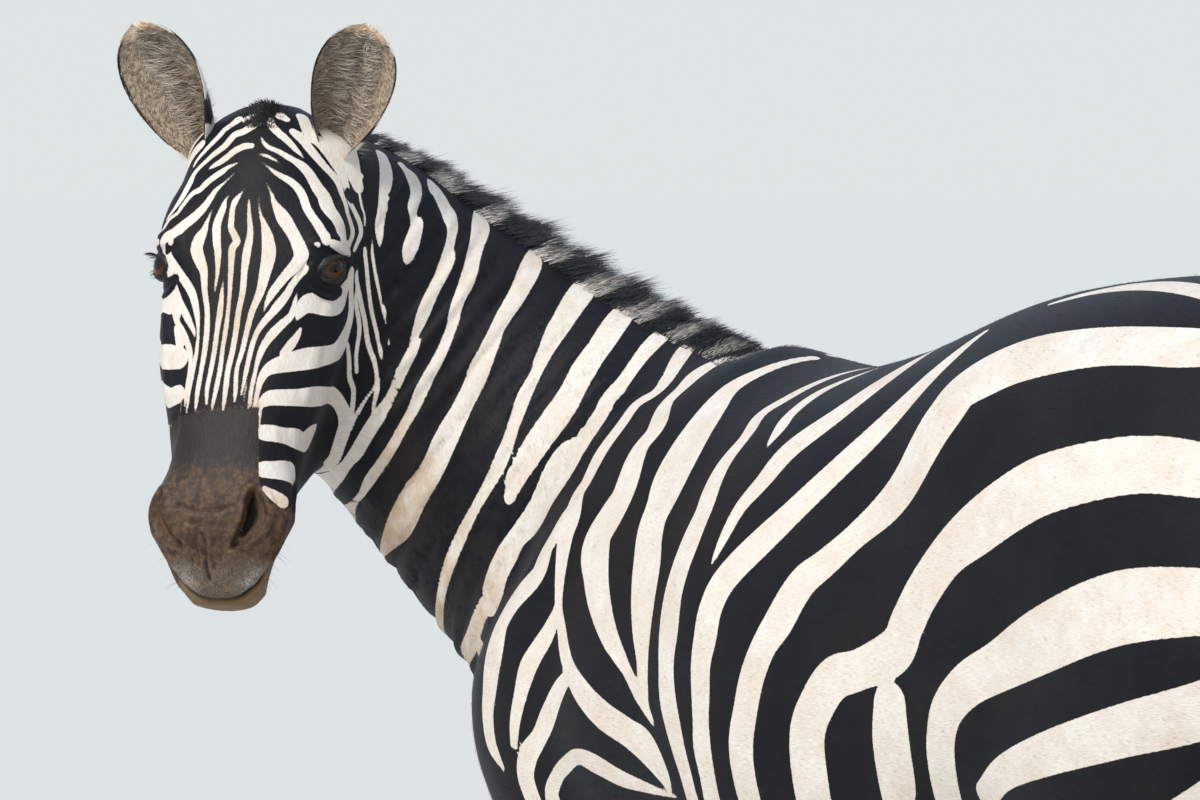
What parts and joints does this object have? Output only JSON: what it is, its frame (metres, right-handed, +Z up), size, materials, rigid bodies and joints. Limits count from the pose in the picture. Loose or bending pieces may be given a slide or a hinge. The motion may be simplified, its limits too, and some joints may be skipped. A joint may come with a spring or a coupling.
{
  "type": "zebra",
  "caption": "Life-size still plains zebra standing square and looking back over its left shoulder, with striped coat, dark muzzle, cupped ears, upright mane and tufted tail.",
  "frame": {"origin": "on the floor, under the middle of the bounding box", "axes": "+Z up, -Y the way the body faces, +X the zebra's left"},
  "size_m": [0.7539, 1.679, 1.6099],
  "materials": {
    "coat": "short fur in black and cream stripes",
    "mane_hair": "coarse hair",
    "eye": "wet, glossy",
    "hoof_horn": "worn horn"
  },
  "bodies": {
    "root": {"head": "coat", "neck": "coat", "trunk": "coat", "tail": "coat", "foreleg_left": "coat", "foreleg_right": "coat", "hindleg_left": "coat", "hindleg_right": "coat", "ear_left": "coat", "ear_right": "coat", "mane": "mane_hair", "forelock": "mane_hair", "tail_tuft": "mane_hair", "eye_left": "eye", "eye_right": "eye", "hoof_fore_left": "hoof_horn", "hoof_fore_right": "hoof_horn", "hoof_hind_left": "hoof_horn", "hoof_hind_right": "hoof_horn"}
  },
  "joints": []
}
